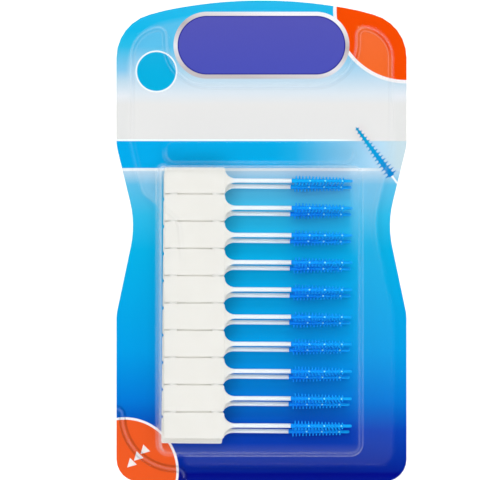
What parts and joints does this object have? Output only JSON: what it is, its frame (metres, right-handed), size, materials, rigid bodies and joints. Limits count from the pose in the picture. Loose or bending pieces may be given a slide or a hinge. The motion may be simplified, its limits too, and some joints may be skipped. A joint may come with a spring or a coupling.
{
  "type": "interdental brush pack",
  "caption": "Carded clear blister pack holding stacked combs of snap-off rubber-tipped interdental brushes for cleaning between teeth.",
  "frame": {"origin": "middle of the card's back face, on the surface that the pack lies on", "axes": "+X towards the brush tips, +Y towards the arched head of the card, +Z out of the front of the pack"},
  "size_m": [0.085, 0.141, 0.0076],
  "materials": {
    "printed_board": "printed coated board, satin",
    "clear_sheet": "clear thermoformed sheet, glossy",
    "stiff_core": "white moulded plastic, satin",
    "soft_rubber": "soft translucent rubber, satin"
  },
  "bodies": {
    "card": {"backing_card": "printed_board"},
    "shell": {"blister_shell": "clear_sheet"},
    "front_brush_01": {"front_core_01": "stiff_core", "front_sleeve_01": "soft_rubber"},
    "front_brush_02": {"front_core_02": "stiff_core", "front_sleeve_02": "soft_rubber"},
    "front_brush_03": {"front_core_03": "stiff_core", "front_sleeve_03": "soft_rubber"},
    "front_brush_04": {"front_core_04": "stiff_core", "front_sleeve_04": "soft_rubber"},
    "front_brush_05": {"front_core_05": "stiff_core", "front_sleeve_05": "soft_rubber"},
    "front_brush_06": {"front_core_06": "stiff_core", "front_sleeve_06": "soft_rubber"},
    "front_brush_07": {"front_core_07": "stiff_core", "front_sleeve_07": "soft_rubber"},
    "front_brush_08": {"front_core_08": "stiff_core", "front_sleeve_08": "soft_rubber"},
    "front_brush_09": {"front_core_09": "stiff_core", "front_sleeve_09": "soft_rubber"},
    "front_brush_10": {"front_core_10": "stiff_core", "front_sleeve_10": "soft_rubber"},
    "rear_brush_01": {"rear_core_01": "stiff_core", "rear_sleeve_01": "soft_rubber"},
    "rear_brush_02": {"rear_core_02": "stiff_core", "rear_sleeve_02": "soft_rubber"},
    "rear_brush_03": {"rear_core_03": "stiff_core", "rear_sleeve_03": "soft_rubber"},
    "rear_brush_04": {"rear_core_04": "stiff_core", "rear_sleeve_04": "soft_rubber"},
    "rear_brush_05": {"rear_core_05": "stiff_core", "rear_sleeve_05": "soft_rubber"},
    "rear_brush_06": {"rear_core_06": "stiff_core", "rear_sleeve_06": "soft_rubber"},
    "rear_brush_07": {"rear_core_07": "stiff_core", "rear_sleeve_07": "soft_rubber"},
    "rear_brush_08": {"rear_core_08": "stiff_core", "rear_sleeve_08": "soft_rubber"},
    "rear_brush_09": {"rear_core_09": "stiff_core", "rear_sleeve_09": "soft_rubber"},
    "rear_brush_10": {"rear_core_10": "stiff_core", "rear_sleeve_10": "soft_rubber"}
  },
  "joints": [
    {"name": "shell_peel", "type": "hinge", "parent": "card", "child": "shell", "pos_m": [0.0425, 0, 0.0006], "axis": [0, 1, 0], "range_deg": [0, 150]},
    {"name": "front_lift_01", "type": "slide", "parent": "card", "child": "front_brush_01", "axis": [0, 0, 1], "range_m": [0, 0.0551]},
    {"name": "front_lift_02", "type": "slide", "parent": "card", "child": "front_brush_02", "axis": [0, 0, 1], "range_m": [0, 0.0525]},
    {"name": "front_lift_03", "type": "slide", "parent": "card", "child": "front_brush_03", "axis": [0, 0, 1], "range_m": [0, 0.0499]},
    {"name": "front_lift_04", "type": "slide", "parent": "card", "child": "front_brush_04", "axis": [0, 0, 1], "range_m": [0, 0.0473]},
    {"name": "front_lift_05", "type": "slide", "parent": "card", "child": "front_brush_05", "axis": [0, 0, 1], "range_m": [0, 0.0447]},
    {"name": "front_lift_06", "type": "slide", "parent": "card", "child": "front_brush_06", "axis": [0, 0, 1], "range_m": [0, 0.042]},
    {"name": "front_lift_07", "type": "slide", "parent": "card", "child": "front_brush_07", "axis": [0, 0, 1], "range_m": [0, 0.0394]},
    {"name": "front_lift_08", "type": "slide", "parent": "card", "child": "front_brush_08", "axis": [0, 0, 1], "range_m": [0, 0.0368]},
    {"name": "front_lift_09", "type": "slide", "parent": "card", "child": "front_brush_09", "axis": [0, 0, 1], "range_m": [0, 0.0342]},
    {"name": "front_lift_10", "type": "slide", "parent": "card", "child": "front_brush_10", "axis": [0, 0, 1], "range_m": [0, 0.0316]},
    {"name": "rear_lift_01", "type": "slide", "parent": "card", "child": "rear_brush_01", "axis": [0, 0, 1], "range_m": [0, 0.0221]},
    {"name": "rear_lift_02", "type": "slide", "parent": "card", "child": "rear_brush_02", "axis": [0, 0, 1], "range_m": [0, 0.0206]},
    {"name": "rear_lift_03", "type": "slide", "parent": "card", "child": "rear_brush_03", "axis": [0, 0, 1], "range_m": [0, 0.019]},
    {"name": "rear_lift_04", "type": "slide", "parent": "card", "child": "rear_brush_04", "axis": [0, 0, 1], "range_m": [0, 0.0174]},
    {"name": "rear_lift_05", "type": "slide", "parent": "card", "child": "rear_brush_05", "axis": [0, 0, 1], "range_m": [0, 0.0159]},
    {"name": "rear_lift_06", "type": "slide", "parent": "card", "child": "rear_brush_06", "axis": [0, 0, 1], "range_m": [0, 0.0143]},
    {"name": "rear_lift_07", "type": "slide", "parent": "card", "child": "rear_brush_07", "axis": [0, 0, 1], "range_m": [0, 0.0127]},
    {"name": "rear_lift_08", "type": "slide", "parent": "card", "child": "rear_brush_08", "axis": [0, 0, 1], "range_m": [0, 0.0111]},
    {"name": "rear_lift_09", "type": "slide", "parent": "card", "child": "rear_brush_09", "axis": [0, 0, 1], "range_m": [0, 0.0096]},
    {"name": "rear_lift_10", "type": "slide", "parent": "card", "child": "rear_brush_10", "axis": [0, 0, 1], "range_m": [0, 0.008]}
  ],
  "couplings": [
    {"joint": "front_lift_01", "follows": "shell_peel", "m_per_rad": 0.021},
    {"joint": "front_lift_02", "follows": "shell_peel", "m_per_rad": 0.02},
    {"joint": "front_lift_03", "follows": "shell_peel", "m_per_rad": 0.019},
    {"joint": "front_lift_04", "follows": "shell_peel", "m_per_rad": 0.018},
    {"joint": "front_lift_05", "follows": "shell_peel", "m_per_rad": 0.017},
    {"joint": "front_lift_06", "follows": "shell_peel", "m_per_rad": 0.016},
    {"joint": "front_lift_07", "follows": "shell_peel", "m_per_rad": 0.015},
    {"joint": "front_lift_08", "follows": "shell_peel", "m_per_rad": 0.014},
    {"joint": "front_lift_09", "follows": "shell_peel", "m_per_rad": 0.013},
    {"joint": "front_lift_10", "follows": "shell_peel", "m_per_rad": 0.012},
    {"joint": "rear_lift_01", "follows": "shell_peel", "m_per_rad": 0.0084},
    {"joint": "rear_lift_02", "follows": "shell_peel", "m_per_rad": 0.0078},
    {"joint": "rear_lift_03", "follows": "shell_peel", "m_per_rad": 0.0072},
    {"joint": "rear_lift_04", "follows": "shell_peel", "m_per_rad": 0.0066},
    {"joint": "rear_lift_05", "follows": "shell_peel", "m_per_rad": 0.006},
    {"joint": "rear_lift_06", "follows": "shell_peel", "m_per_rad": 0.0054},
    {"joint": "rear_lift_07", "follows": "shell_peel", "m_per_rad": 0.0048},
    {"joint": "rear_lift_08", "follows": "shell_peel", "m_per_rad": 0.0042},
    {"joint": "rear_lift_09", "follows": "shell_peel", "m_per_rad": 0.0036},
    {"joint": "rear_lift_10", "follows": "shell_peel", "m_per_rad": 0.003}
  ]
}
